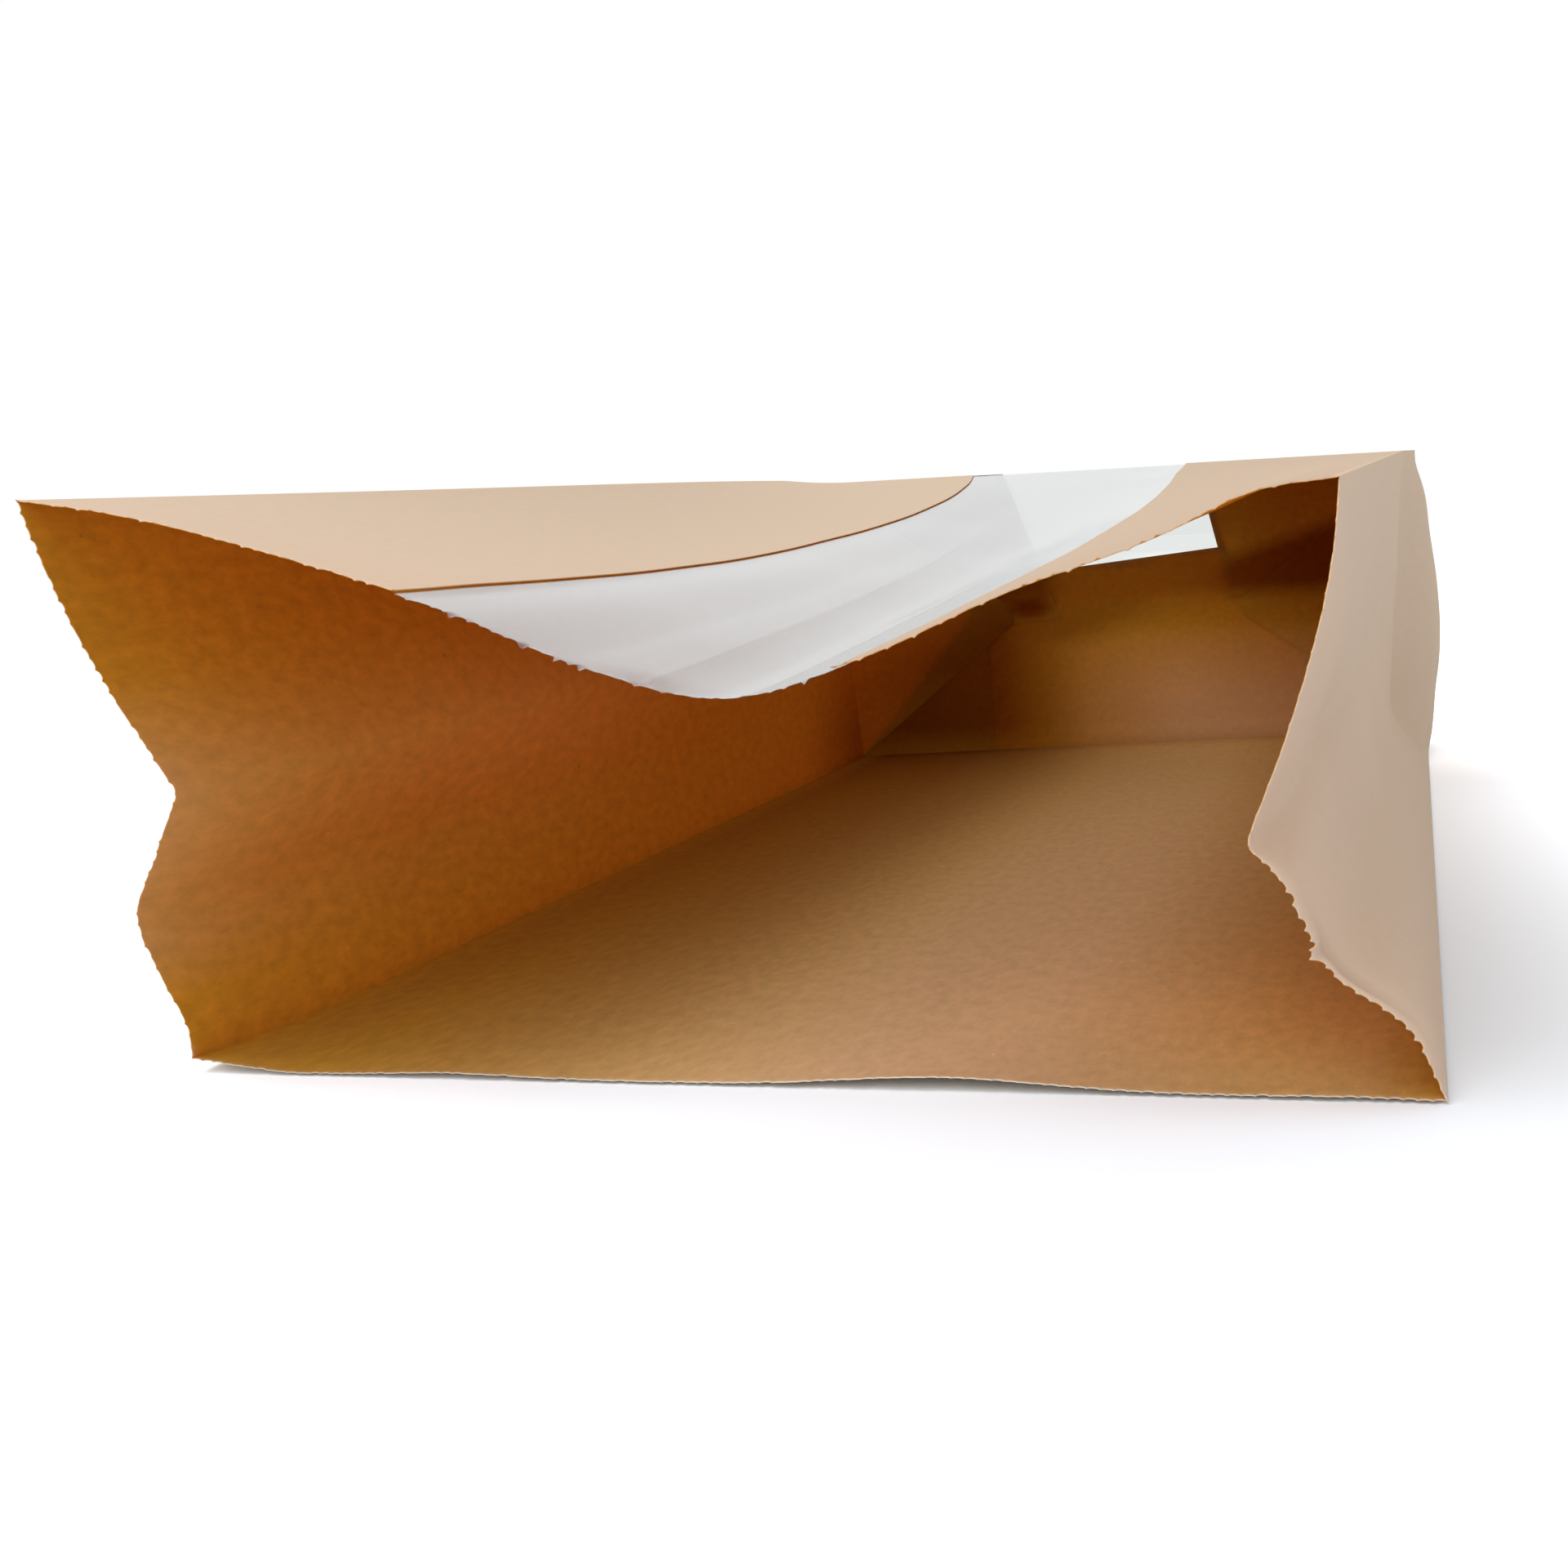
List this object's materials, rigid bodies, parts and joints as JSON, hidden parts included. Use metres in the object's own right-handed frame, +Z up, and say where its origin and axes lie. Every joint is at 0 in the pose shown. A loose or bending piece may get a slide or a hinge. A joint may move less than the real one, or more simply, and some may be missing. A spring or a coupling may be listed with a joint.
{
  "type": "paper bread bag",
  "caption": "Kraft paper bread bag with gusseted sides, block bottom and clear film window strip, lying open on its back to hold a loaf.",
  "frame": {"origin": "middle of the back panel's outer face, on the ground the bag lies on", "axes": "+Z up from the ground through the window panel, +Y from the open mouth to the base, +X across the bag"},
  "size_m": [0.1692, 0.3663, 0.0807],
  "materials": {
    "kraft_paper": "matte",
    "clear_film": "clear"
  },
  "bodies": {
    "root": {"paper_bag": "kraft_paper", "window_film": "clear_film"}
  },
  "joints": []
}
